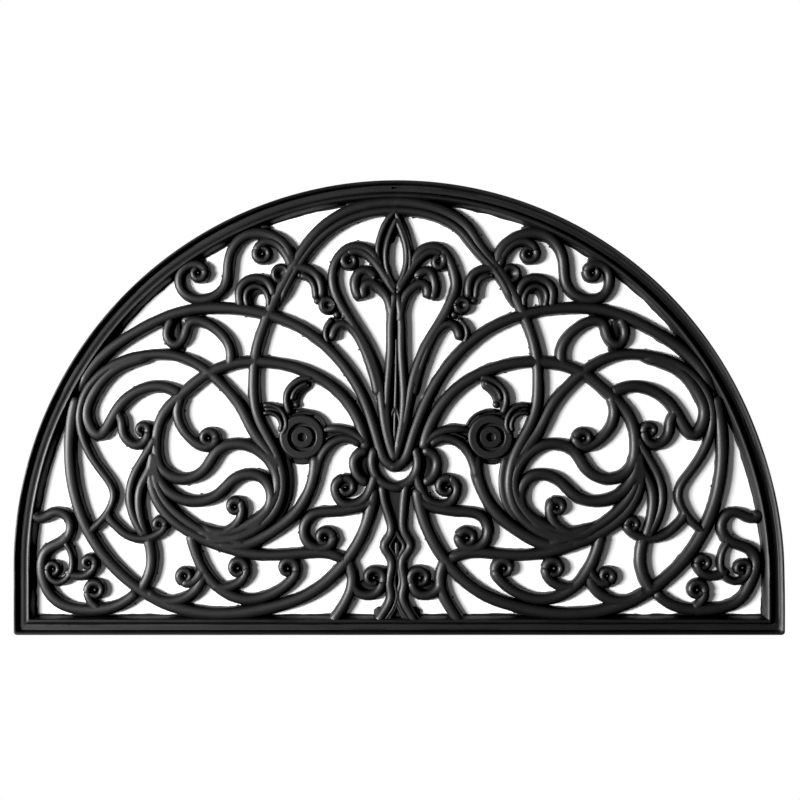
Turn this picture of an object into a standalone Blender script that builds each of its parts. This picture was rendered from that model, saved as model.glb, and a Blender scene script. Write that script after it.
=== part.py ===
"""Half moon doormat: one moulding of black rubber, an open scrollwork grille
inside a moulded border.

The mat lies flat, +Z up, with its straight edge towards -Y and its arch
towards +Y. The origin is in the middle of its box, on the surface it lies on.

The scrollwork is drawn for the left half on a sheet, x to the right and y
down, and mirrored about the sheet's centre line. Each bar is a smooth line
through a few knots, and a curl winds the bar in towards an eye.
"""
import math
from collections import namedtuple

import bpy
import bmesh
import numpy as np
from mathutils import Vector
from mathutils.geometry import convex_hull_2d, delaunay_2d_cdt

# ---- driving dimensions, metres ----
MAT_WIDTH = 0.750            # along the straight edge
ARCH_RADIUS = 0.375          # half circle on top of the straight sides
SIDE_HEIGHT = 0.0675         # straight part of each side
MAT_DEPTH = ARCH_RADIUS + SIDE_HEIGHT
THICKNESS = 0.0085           # moulded height
BORDER_WIDTH = 0.0214
CORNER_ROUND = 0.0035        # outer bottom corners

# ---- the drawing sheet ----
SHEET_CENTRE_X = 396.5       # centre line of the scrollwork
SHEET_LEFT_X = 12.2          # the mat's left edge
SHEET_BASE_Y = 635.5         # the straight edge
SHEET_TOP_Y = 180.0          # the top of the arch
UNIT_X = (MAT_WIDTH / 2) / (SHEET_CENTRE_X - SHEET_LEFT_X)
UNIT_Y = MAT_DEPTH / (SHEET_BASE_Y - SHEET_TOP_Y)

# ---- how finely the outline is cut ----
LINE_TOLERANCE = 0.00035
LONGEST_STEP = 0.014
SMALLEST_GAP_AREA = 12e-6    # smaller gaps are moulded shut
MERGE_DISTANCE = 0.00012
RIM_TOLERANCE = 0.00052
SHORTEST_EDGE = 0.0016
DROP = 0.0010

Bar = namedtuple("Bar", "name width tip knots curl")
Curl = namedtuple("Curl", "x y hand turns eye pull")

CCW, CW = -1, 1      # as seen on the sheet, y downwards

BARS = (
    Bar("outer_arch", 10, 10, ((398, 203), (372, 205), (350, 211), (317, 234), (292, 268), (269, 312), (257, 348), (253.5, 382), (257, 414), (273, 446), (284, 480), (277, 510), (253, 529), (218, 540)), None),
    Bar("inner_arch", 8, 8, ((398, 211), (350, 221), (319, 242), (297, 271), (288, 287)), None),
    Bar("top_sweep", 10.5, 8, ((80, 388), (105, 353), (140, 328), (180, 311), (220, 307.5), (260, 312.5), (300, 327), (336, 356), (358, 386), (373, 420), (383, 454), (398, 468)), None),
    Bar("wheel_rim", 10.5, 10.5, ((368, 450), (364, 432), (340, 393), (308, 372), (270, 362.5), (240, 363), (210, 373), (184, 393), (163, 416), (156, 445), (162, 468), (184, 478.5), (206, 468), (219, 450), (243, 444), (265, 455), (278, 479), (271, 506), (247, 526), (212, 534)), None),
    Bar("side_sweep", 11, 11, ((280, 468), (266, 448), (253, 430), (240, 405), (224, 386), (206, 370), (182, 357.5), (150, 355), (116, 364.5), (90, 386), (80, 413), (86, 445), (101, 470), (114, 494), (106, 514), (90, 529)), None),
    Bar("side_hook", 10.5, 10.5, ((150, 357), (113, 371), (93, 395), (88, 420), (99, 435), (112, 419), (129, 397), (155, 386.5), (182, 395)), None),
    Bar("hook_curl", 9, 8, ((115, 412), (121, 422), (122, 433), (129, 442), (139, 444)), Curl(141, 430, CCW, 1.2, 3, 2.5)),
    Bar("wheel_curl", 10, 8, ((183, 395), (179, 420), (193, 440), (204, 446)), Curl(210, 438, CCW, 1.2, 3, 0.8)),
    Bar("second_rim", 10.5, 10.5, ((153, 466), (164, 487), (188, 500), (217, 495), (237, 477.5), (262, 477), (272, 498), (262, 518), (238, 531)), None),
    Bar("third_rim", 9, 9, ((152, 465), (161, 494), (182, 517), (204, 531), (232, 536)), None),
    Bar("lower_sweep", 10, 10, ((151, 462), (154, 491), (169, 516), (194, 534), (225, 547), (262, 554.5), (302, 553), (335, 554.5), (346, 561)), None),
    Bar("rim_curl", 9, 8, ((212, 534), (226, 530), (240, 519), (244, 507)), Curl(235, 505, CCW, 1.1, 3, 1.2)),
    Bar("boss_bar", 11, 11, ((316, 455), (312, 486), (297, 512), (272, 531), (226, 546)), None),
    Bar("boss_loop", 9, 9, ((316, 478), (321, 458), (333, 442), (349, 438), (361, 446)), None),
    Bar("boss_tie", 9, 9, ((318, 430), (340, 430), (355, 434), (366, 443)), None),
    Bar("cap_leaf_outer", 8, 8, ((312, 379), (291, 389), (287, 408), (293, 416)), None),
    Bar("cap_leaf_inner", 6, 6, ((306, 385), (294, 399), (296, 408)), None),
    Bar("small_hood_outer", 5, 5, ((264, 401), (281, 408), (285, 426)), None),
    Bar("small_hood_inner", 5, 5, ((263, 411), (279, 411), (283, 420)), None),
    Bar("shoulder_curl", 10, 8, ((229, 368), (231, 343), (214, 324), (197, 318), (186, 326), (184, 336)), Curl(173, 334, CW, 1.1, 3, 1.0)),
    Bar("crest_curl", 11, 8, ((292, 266), (277, 239), (246, 237), (230, 259), (225, 287), (201, 300), (181, 289), (183, 270)), Curl(198, 274, CW, 1.2, 3, 2.6)),
    Bar("crest_inner_curl", 8, 7, ((291, 268), (283, 250), (266, 244)), Curl(262, 254, CCW, 1.2, 3, 1.5)),
    Bar("hood_outer", 7, 7, ((241, 303), (248, 280), (268, 282), (274, 303)), None),
    Bar("hood_inner", 7, 7, ((248, 303), (254, 287), (268, 293), (270, 303)), None),
    Bar("hood_right_outer", 7, 7, ((290, 270), (303, 268), (315, 273), (321, 283), (322, 296)), None),
    Bar("hood_right_inner", 7, 7, ((299, 277), (308, 279), (315, 286), (317, 298)), None),
    Bar("bud_outer", 7, 7, ((332, 319), (325, 334), (330, 342)), None),
    Bar("bud_inner", 8, 8, ((379, 396), (369, 360), (355, 331), (343, 325.5), (332, 330), (330, 340)), None),
    Bar("heart", 9, 9, ((396, 457), (386, 420), (380, 384), (367, 347), (346, 313), (332, 287), (335, 260), (355, 246.5), (376, 257)), None),
    Bar("petal_upper", 9, 7, ((396, 292), (383, 273), (369, 256), (356, 250.5)), Curl(349.5, 259.5, CCW, 1.0, 2.5, 2.2)),
    Bar("petal_lower", 10, 10, ((396, 297), (378, 285), (359, 285), (362, 300)), None),
    Bar("petal_ridge", 8, 8, ((374, 278), (366, 271), (356, 277), (358, 297)), None),
    Bar("leaf_outer", 7, 7, ((396, 213), (381.5, 233), (382, 262), (396, 292)), None),
    Bar("leaf_inner", 6, 6, ((396, 222), (386.5, 244), (389.5, 275), (396, 287)), None),
    Bar("stem", 8, 8, ((396, 293), (391.5, 320), (391, 350), (388, 405), (394, 448)), None),
    Bar("cup", 9, 9, ((377, 449), (374, 472), (398, 486.5)), None),
    Bar("cup_side", 9, 9, ((370, 450), (355, 460), (361, 478), (370, 482)), None),
    Bar("neck_curl", 9, 8, ((372, 484), (360, 503.5), (342, 503), (334, 494)), Curl(345, 486, CW, 1.1, 3, 1.5)),
    Bar("middle_curl", 11, 9, ((366, 505), (335, 511), (309, 516.5), (304, 536), (318, 549)), Curl(325, 537, CCW, 1.2, 3, 1.6)),
    Bar("big_ring", 11, 11, ((77, 396), (70, 440), (80.5, 507), (99.5, 545), (128, 577.5), (163, 602), (205, 612.5), (246, 612), (280, 605), (308, 594.5), (337, 572), (356, 547), (373, 502), (375, 487)), None),
    Bar("foot_bar", 10.5, 10.5, ((347, 559), (352, 586), (335, 617)), None),
    Bar("foot_curl", 9, 8, ((351, 582), (366, 594.5), (382, 588)), Curl(375, 577.5, CCW, 1.2, 3, 1.4)),
    Bar("low_scroll", 10.5, 9, ((191, 533), (200, 562), (219, 587.5), (248, 599), (279, 591), (297, 573)), Curl(288, 568, CCW, 1.1, 3, 1.5)),
    Bar("low_inner_curl", 9, 8, ((211, 583), (234, 585), (247, 571)), Curl(238, 567, CCW, 1.1, 3, 1.5)),
    Bar("low_left_curl", 9, 8, ((203, 567), (197, 580), (183, 584)), Curl(185.5, 576, CW, 1.2, 3, 1.2)),
    Bar("low_left_bar", 10, 10, ((204, 572), (194, 592), (170, 601), (146, 590)), None),
    Bar("knee_post", 11, 11, ((149, 538), (154.5, 560), (145.5, 590)), None),
    Bar("left_lens_outer", 8, 8, ((151, 446), (136, 471), (130, 499), (138, 525), (146, 537)), None),
    Bar("left_lens_inner", 9, 9, ((153, 464), (141, 487), (140, 512), (147, 537)), None),
    Bar("knee_curl", 10, 7, ((112, 511), (121, 531), (143, 539), (163, 529)), Curl(159, 523, CCW, 1.2, 2.5, 1.5)),
    Bar("corner_tip", 9, 9, ((33.5, 511), (41, 518.5), (55, 512), (70, 523), (64, 539)), None),
    Bar("corner_scroll", 10, 10, ((64, 540), (46, 550), (43, 576), (59, 599), (88, 608.5), (117, 605.5), (138, 591)), None),
    Bar("corner_curl", 8, 8, ((64, 541), (72, 562), (63, 581)), Curl(53, 569, CW, 1.25, 3.5, 2.2)),
    Bar("corner_bud", 8, 7, ((70, 573), (84, 575)), Curl(88, 563, CCW, 1.1, 3, 1.6)),
    Bar("corner_knot", 8, 7, ((101, 608), (88, 599)), Curl(94.5, 590, CW, 1.1, 3, 1.2)),
    Bar("post_outer", 8, 8, ((383, 487), (387, 508), (389.5, 533), (384.5, 545), (391.5, 566), (389, 587), (388, 606), (370, 617)), None),
)


Disc = namedtuple("Disc", "name x y radius")

DISCS = (
    Disc("boss", 302, 437, 22.5),
    Disc("crest_ring", 280.5, 273, 9.5),
    Disc("hood_ball", 327.5, 305, 8.5),
    Disc("hood_knob", 337, 314, 4.5),
    Disc("crest_web", 198, 262, 7),
    Disc("shoulder_web", 181, 346, 4),
    Disc("rim_web", 181, 349, 4),
)

Core = namedtuple("Core", "name width knots")

CORES = (
    Core("spine", 12, ((396.5, 292), (396.5, 452))),
    Core("pedestal", 16, ((396.5, 484), (396.5, 530))),
    Core("baluster", 12, ((396.5, 528), (396.5, 616))),
    Core("foot", 34, ((396.5, 611), (396.5, 622))),
    Core("top_key", 16, ((396.5, 200), (396.5, 226))),
)

def spline(knots, step):
    """Smooth line through the knots: a cubic spline over chord length."""
    p = np.array(knots, float)
    n = len(p)
    if n == 2:
        m = max(2, int(math.ceil(np.linalg.norm(p[1] - p[0]) / step)) + 1)
        t = np.linspace(0, 1, m)[:, None]
        return p[0] * (1 - t) + p[1] * t
    h = np.maximum(np.linalg.norm(np.diff(p, axis=0), axis=1), 1e-6)
    s = np.concatenate([[0], np.cumsum(h)])
    a = np.zeros((n, n))
    b = np.zeros((n, 2))
    for i in range(1, n - 1):
        a[i, i - 1], a[i, i], a[i, i + 1] = h[i - 1], 2 * (h[i - 1] + h[i]), h[i]
        b[i] = 6 * ((p[i + 1] - p[i]) / h[i] - (p[i] - p[i - 1]) / h[i - 1])
    # the ends keep the bend of their neighbours
    a[0, 0], a[0, 1] = 1, -1
    a[-1, -1], a[-1, -2] = 1, -1
    m2 = np.linalg.solve(a, b)
    count = max(2, int(math.ceil(s[-1] / step)) + 1)
    out = []
    for q in np.linspace(0, s[-1], count):
        i = min(int(np.searchsorted(s, q, side="right")) - 1, n - 2)
        u, w = q - s[i], s[i + 1] - q
        out.append((m2[i] * w ** 3 + m2[i + 1] * u ** 3) / (6 * h[i])
                   + (p[i] / h[i] - m2[i] * h[i] / 6) * w
                   + (p[i + 1] / h[i] - m2[i + 1] * h[i] / 6) * u)
    return np.array(out)


def bar_line(bar, step):
    """A bar's middle line, with its curl wound in towards the eye."""
    knots = list(bar.knots)
    if bar.curl:
        c = bar.curl
        x, y = knots[-1]
        r0 = math.hypot(x - c.x, y - c.y)
        a0 = math.atan2(y - c.y, x - c.x)
        steps = max(3, int(round(c.turns * 8)))
        for k in range(1, steps + 1):
            f = k / steps
            r = c.eye + (r0 - c.eye) * (1 - f) ** c.pull
            ang = a0 + c.hand * math.tau * c.turns * f
            knots.append((c.x + r * math.cos(ang), c.y + r * math.sin(ang)))
    return spline(knots, step)


def place(points, side=-1):
    """Sheet points to metres; side -1 is the left half, +1 its mirror image."""
    q = np.array(points, float)
    return np.stack([(SHEET_CENTRE_X - q[:, 0]) * UNIT_X * side,
                     (SHEET_BASE_Y - q[:, 1]) * UNIT_Y - MAT_DEPTH / 2], axis=1)


def thin_out(line, widths, tolerance=LINE_TOLERANCE, longest=LONGEST_STEP):
    """Leave out the points that a straight run between its neighbours makes
    up to within the tolerance."""
    keep = [0, len(line) - 1]
    todo = [(0, len(line) - 1)]
    while todo:
        i, j = todo.pop()
        if j - i < 2:
            continue
        d = line[j] - line[i]
        run = np.linalg.norm(d)
        rel = line[i + 1:j] - line[i]
        if run < 1e-9:
            off = np.linalg.norm(rel, axis=1)
        else:
            off = np.abs(rel[:, 0] * d[1] - rel[:, 1] * d[0]) / run
        k = i + 1 + int(np.argmax(off))
        if off.max() > tolerance or run > longest:
            if off.max() <= tolerance:
                k = (i + j) // 2
            keep.append(k)
            todo += [(i, k), (k, j)]
    keep = sorted(set(keep))
    return line[keep], widths[keep]


def edges_of(line, widths):
    """Left and right edges of a bar of the given width at each point."""
    t = np.gradient(line, axis=0)
    t /= np.linalg.norm(t, axis=1)[:, None]
    n = np.stack([-t[:, 1], t[:, 0]], axis=1)
    h = widths[:, None] / 2
    return line + n * h, line - n * h


class Outline:
    """Flat patches that overlap where the bars cross."""

    def __init__(self):
        self.verts, self.faces = [], []

    def patch(self, ring):
        ring = [Vector((float(x), float(y))) for x, y in ring]
        # the hull keeps a patch simple where a tight bend folds its edge
        ring = [ring[i] for i in convex_hull_2d(ring)]
        area = sum(a.cross(b) for a, b in zip(ring, ring[1:] + ring[:1])) / 2
        if len(ring) < 3 or abs(area) < 2e-8:
            return
        if area < 0:
            ring.reverse()
        start = len(self.verts)
        self.verts += ring
        self.faces.append(list(range(start, start + len(ring))))

    def strip(self, line, widths):
        a, b = edges_of(line, widths)
        for i in range(len(line) - 1):
            self.patch([a[i], a[i + 1], b[i + 1], b[i]])


def border_loops(steps=64):
    """Outer and inner edge of the border, point for point, anticlockwise
    from the middle of the straight edge."""
    r_in = ARCH_RADIUS - BORDER_WIDTH
    low = -MAT_DEPTH / 2
    mid = low + SIDE_HEIGHT
    outer, inner = [], []
    runs = 10
    for k in range(runs):
        f = k / runs
        outer.append((f * (ARCH_RADIUS - CORNER_ROUND), low))
        inner.append((f * (r_in - CORNER_ROUND), low + BORDER_WIDTH))
    for k in range(4):
        a = -math.pi / 2 + math.pi / 2 * k / 3
        outer.append((ARCH_RADIUS - CORNER_ROUND + CORNER_ROUND * math.cos(a),
                      low + CORNER_ROUND + CORNER_ROUND * math.sin(a)))
        inner.append((r_in, low + BORDER_WIDTH))
    for k in range(1, 4):
        y = low + CORNER_ROUND + (SIDE_HEIGHT - CORNER_ROUND) * k / 4
        outer.append((ARCH_RADIUS, y))
        inner.append((r_in, max(y, low + BORDER_WIDTH)))
    for k in range(steps // 2 + 1):
        a = math.pi * k / steps
        outer.append((ARCH_RADIUS * math.cos(a), mid + ARCH_RADIUS * math.sin(a)))
        inner.append((r_in * math.cos(a), mid + r_in * math.sin(a)))
    outer += [(-x, y) for x, y in reversed(outer[1:-1])]
    inner += [(-x, y) for x, y in reversed(inner[1:-1])]
    return outer, inner


def draw(outline):
    outer, inner = border_loops()
    n = len(outer)
    for i in range(n):
        j = (i + 1) % n
        outline.patch([outer[i], outer[j], inner[j], inner[i]])
    for side in (-1, 1):
        for bar in BARS:
            fine = bar_line(bar, 0.8)
            f = np.linspace(0, 1, len(fine))
            widths = (bar.width * (1 - f) + bar.tip * f) * UNIT_Y
            line = place(fine, side)
            if bar.curl:
                # the wound part is filled in to its eye
                c = bar.curl
                reach = np.linalg.norm(np.array(bar.knots[-1], float) - (c.x, c.y))
                away = np.linalg.norm(fine - (c.x, c.y), axis=1)
                start = len(fine) - 1
                while start > 0 and away[start - 1] < reach * 0.93:
                    start -= 1
                eye = place([(c.x, c.y)], side)[0]
                wound, ww = thin_out(line[start:], widths[start:])
                rel = wound - eye
                r = np.linalg.norm(rel, axis=1)
                rim = wound + rel / np.maximum(r, 1e-6)[:, None] * ww[:, None] / 2
                for i in range(len(rim) - 1):
                    outline.patch([eye, rim[i], rim[i + 1]])
                line, widths = line[:start + 1], widths[:start + 1]
            line, widths = thin_out(line, widths)
            outline.strip(line, widths)
        for disc in DISCS:
            count = max(10, int(disc.radius * 1.6))
            outline.patch([place([(disc.x + disc.radius * math.cos(a),
                                   disc.y + disc.radius * math.sin(a))], side)[0]
                           for a in (math.tau * k / count for k in range(count))])
    for core in CORES:
        line = place(core.knots)
        outline.strip(line, np.full(len(line), core.width * UNIT_Y))


def joined(outline):
    """One flat mesh from the overlapping patches, slits moulded shut."""
    # a sheet round everything makes the gaps into faces too
    m = 0.6
    frame_start = len(outline.verts)
    verts = outline.verts + [Vector(c) for c in ((-m, -m), (m, -m), (m, m), (-m, m))]
    faces = outline.faces + [list(range(frame_start, frame_start + 4))]
    sheet = len(faces) - 1
    co, _edges, tris, _ov, _oe, owners = delaunay_2d_cdt(
        verts, [], faces, 1, MERGE_DISTANCE)
    solid = [any(o != sheet for o in own) for own in owners]

    by_edge = {}
    for i, tri in enumerate(tris):
        for a, b in zip(tri, tri[1:] + tri[:1]):
            by_edge.setdefault((min(a, b), max(a, b)), []).append(i)
    beside = [[] for _ in tris]
    for pair in by_edge.values():
        if len(pair) == 2:
            beside[pair[0]].append(pair[1])
            beside[pair[1]].append(pair[0])

    def tri_area(tri):
        a, b, c = (co[i] for i in tri[:3])
        return abs((b - a).cross(c - a)) / 2

    seen = [False] * len(tris)
    for i in range(len(tris)):
        if seen[i]:
            continue
        group, todo = [], [i]
        seen[i] = True
        while todo:
            k = todo.pop()
            group.append(k)
            for b in beside[k]:
                if not seen[b] and solid[b] == solid[k]:
                    seen[b] = True
                    todo.append(b)
        area = sum(tri_area(tris[k]) for k in group)
        if not solid[i] and area < SMALLEST_GAP_AREA:
            for k in group:
                solid[k] = True
    return co, [tri for tri, s in zip(tris, solid) if s]


def rims(co, tris):
    """The closed edge loops of a flat mesh, and the corners where two loops
    would touch."""
    edges = {}
    for tri in tris:
        for a, b in zip(tri, tri[1:] + tri[:1]):
            if edges.pop((b, a), None) is None:
                edges[(a, b)] = True
    ahead = {}
    pinched = set()
    for a, b in edges:
        if a in ahead:
            pinched.add(a)
        ahead[a] = b
    if pinched:
        return [], [co[i] for i in pinched]
    loops = []
    while ahead:
        first = next(iter(ahead))
        loop, at = [], first
        while at in ahead:
            loop.append(at)
            at = ahead.pop(at)
        loops.append(np.array([(co[i].x, co[i].y) for i in loop]))
    return loops, []


def simpler(loop):
    """A closed loop with only the corners that the tolerance needs."""
    far = int(np.argmax(np.linalg.norm(loop - loop[0], axis=1)))
    if far == 0:
        return loop[:1]
    first, _ = thin_out(loop[:far + 1], np.zeros(far + 1), RIM_TOLERANCE, 9)
    back = np.concatenate([loop[far:], loop[:1]])
    second, _ = thin_out(back, np.zeros(len(back)), RIM_TOLERANCE, 9)
    ring = list(first[:-1]) + list(second[:-1])
    out = []
    for p in ring:
        if not out or np.linalg.norm(p - out[-1]) > SHORTEST_EDGE:
            out.append(p)
    while len(out) > 3 and np.linalg.norm(out[-1] - out[0]) < SHORTEST_EDGE:
        out.pop()
    return np.array(out)


def flat_shape():
    outline = Outline()
    draw(outline)
    for _ in range(6):
        co, tris = joined(outline)
        loops, pinched = rims(co, tris)
        if not pinched:
            break
        for p in pinched:
            # a drop of rubber closes a point contact
            outline.patch([(p.x + DROP * math.cos(math.tau * k / 8),
                            p.y + DROP * math.sin(math.tau * k / 8)) for k in range(8)])
    verts, faces = [], []
    for loop in loops:
        ring = simpler(loop)
        if len(ring) < 3:
            continue
        faces.append(list(range(len(verts), len(verts) + len(ring))))
        verts += [Vector((float(x), float(y))) for x, y in ring]
    for face in faces:
        ring = [verts[i] for i in face]
        if sum(a.cross(b) for a, b in zip(ring, ring[1:] + ring[:1])) < 0:
            face.reverse()
    co, _e, tris, _ov, _oe, owners = delaunay_2d_cdt(verts, [], faces, 1, 1e-6)
    # inside the outer loop and outside the gaps
    return co, [tri for tri, own in zip(tris, owners) if len(own) % 2 == 1]


def clear():
    for ob in list(bpy.data.objects):
        bpy.data.objects.remove(ob, do_unlink=True)


def rubber():
    mat = bpy.data.materials.new("black_rubber")
    mat.use_nodes = True
    bsdf = mat.node_tree.nodes["Principled BSDF"]
    bsdf.inputs["Base Color"].default_value = (0.022, 0.022, 0.023, 1)
    bsdf.inputs["Roughness"].default_value = 0.5
    bsdf.inputs["Metallic"].default_value = 0.0
    return mat


def build_mat(group):
    co, tris = flat_shape()
    bm = bmesh.new()
    vs = {}
    for tri in tris:
        ring = []
        for i in tri:
            if i not in vs:
                vs[i] = bm.verts.new((co[i].x, co[i].y, 0.0))
            ring.append(vs[i])
        bm.faces.new(ring)
    raised = bmesh.ops.extrude_face_region(bm, geom=bm.faces[:], use_keep_orig=True)
    bmesh.ops.translate(bm, vec=(0, 0, THICKNESS),
                        verts=[g for g in raised["geom"] if isinstance(g, bmesh.types.BMVert)])
    bmesh.ops.recalc_face_normals(bm, faces=bm.faces)
    mesh = bpy.data.meshes.new("mat")
    bm.to_mesh(mesh)
    bm.free()
    ob = bpy.data.objects.new("mat", mesh)
    mesh.materials.append(rubber())
    group.objects.link(ob)
    print("triangles:", len(mesh.polygons))
    return ob


def main():
    clear()
    group = bpy.data.collections.new("half_moon_doormat")
    bpy.context.scene.collection.children.link(group)
    build_mat(group)


main()
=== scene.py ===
"""Looks of the half moon doormat: one moulding of black rubber.

Every bar of the scrollwork is swept with a rounded section on low walls, the
curls are wound in towards small domed eyes, and all of it is united with the
ridged border into one closed skin. The scrollwork is drawn for the left half
on a sheet, x to the right and y down, and mirrored about its centre line.
"""
import math
from collections import namedtuple

import bpy
import bmesh
import numpy as np
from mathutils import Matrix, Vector, noise


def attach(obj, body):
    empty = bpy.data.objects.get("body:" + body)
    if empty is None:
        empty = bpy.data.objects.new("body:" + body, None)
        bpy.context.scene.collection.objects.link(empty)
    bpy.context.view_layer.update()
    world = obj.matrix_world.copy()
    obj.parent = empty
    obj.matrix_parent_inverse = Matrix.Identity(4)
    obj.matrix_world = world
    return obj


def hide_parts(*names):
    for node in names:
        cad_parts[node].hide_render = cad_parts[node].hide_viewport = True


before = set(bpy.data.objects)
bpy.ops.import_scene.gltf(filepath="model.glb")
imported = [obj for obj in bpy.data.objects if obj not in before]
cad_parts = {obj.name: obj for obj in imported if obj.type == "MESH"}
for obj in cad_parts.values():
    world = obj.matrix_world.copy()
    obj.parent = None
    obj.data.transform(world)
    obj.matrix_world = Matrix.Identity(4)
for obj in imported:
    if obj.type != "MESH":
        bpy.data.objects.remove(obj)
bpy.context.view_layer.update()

# ---- sizes, metres ----
MAT_WIDTH = 0.750
ARCH_RADIUS = 0.375
SIDE_HEIGHT = 0.0675
MAT_DEPTH = ARCH_RADIUS + SIDE_HEIGHT
BORDER_WIDTH = 0.0214
FOOT_WIDTH = 0.0198           # the border along the straight edge
CORNER_ROUND = 0.0035

CROWN = 0.0080               # top of a bar
WALL = 0.0036                # where its rounded top begins
FLASH_HEIGHT = 0.0007        # thin rubber left at the foot by the mould
FADE_LENGTH = 0.016          # over which a bar thins out along another

# ---- the drawing sheet ----
SHEET_CENTRE_X = 396.5       # the drawing's own centre line
SHEET_MIDDLE_X = 397.0       # where x = 0 and y = 0 lie on it
SHEET_MIDDLE_Y = 407.75
UNIT = 0.0009754             # metres to a sheet unit
SPREAD_OUT = 2.5             # a bar's foot is this much wider than drawn, and
FINE_SPREAD = 0.6            # a fine rib's this much

# how far the border lies in from true on the right and left, and its right foot out
DRAWN_IN = -0.0010
SPREAD = 0.0034
LEFT_IN = 0.0012
RISE = 0.0012                # how much further up its upper part lies

# the right half isn't quite the left one mirrored: where it is shifted, how far round, by how much
Slip = namedtuple("Slip", "name x y reach right down")
SLIPS = (
    Slip("heart_lobe", 456, 266, 26, -5.0, 1.0),
    Slip("arch", 488, 246, 24, -4.5, 1.0),
    Slip("ball", 462, 306, 13, -2.5, 0.0),
    Slip("crest", 611, 283, 17, -3.5, 0.0),
    Slip("corner", 756, 562, 24, 6.0, -2.0),
    Slip("corner_sweep", 735, 600, 16, 3.0, 0.0),
    Slip("waist", 396, 440, 42, -1.6, 0.0),
    Slip("post", 397, 575, 46, 1.2, 0.0),
)

# ---- the border's section: inwards from the outer edge, and height, mm ----
Edge = namedtuple("Edge", "inwards height")
BORDER_SECTION = (
    Edge(0.0, 0.0), Edge(0.0, 4.9), Edge(0.2, 6.1), Edge(0.7, 6.8), Edge(1.3, 7.0),
    Edge(2.1, 6.8), Edge(3.0, 6.2), Edge(3.8, 5.3), Edge(4.5, 4.2), Edge(5.0, 3.3),
    Edge(5.5, 3.1), Edge(7.6, 3.35), Edge(10.3, 3.3), Edge(10.9, 3.0), Edge(11.3, 4.0),
    Edge(11.9, 5.5), Edge(12.7, 6.9), Edge(13.6, 7.6), Edge(14.7, 8.2), Edge(15.5, 8.3), Edge(16.3, 8.0),
    Edge(17.0, 7.2), Edge(17.9, 6.0), Edge(18.7, 4.4), Edge(19.4, 2.6), Edge(20.0, 1.1),
    Edge(20.5, 0.7), Edge(21.4, 0.6), Edge(21.4, 0.0),
)

# fade: the end that thins out along another bar; side: -1 or 1 if only that half has the bar
Bar = namedtuple("Bar", "name width tip knots curl fade side", defaults=("", 0))
Curl = namedtuple("Curl", "x y hand turns eye pull")

CCW, CW = -1, 1      # as seen on the sheet, y downwards

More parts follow.
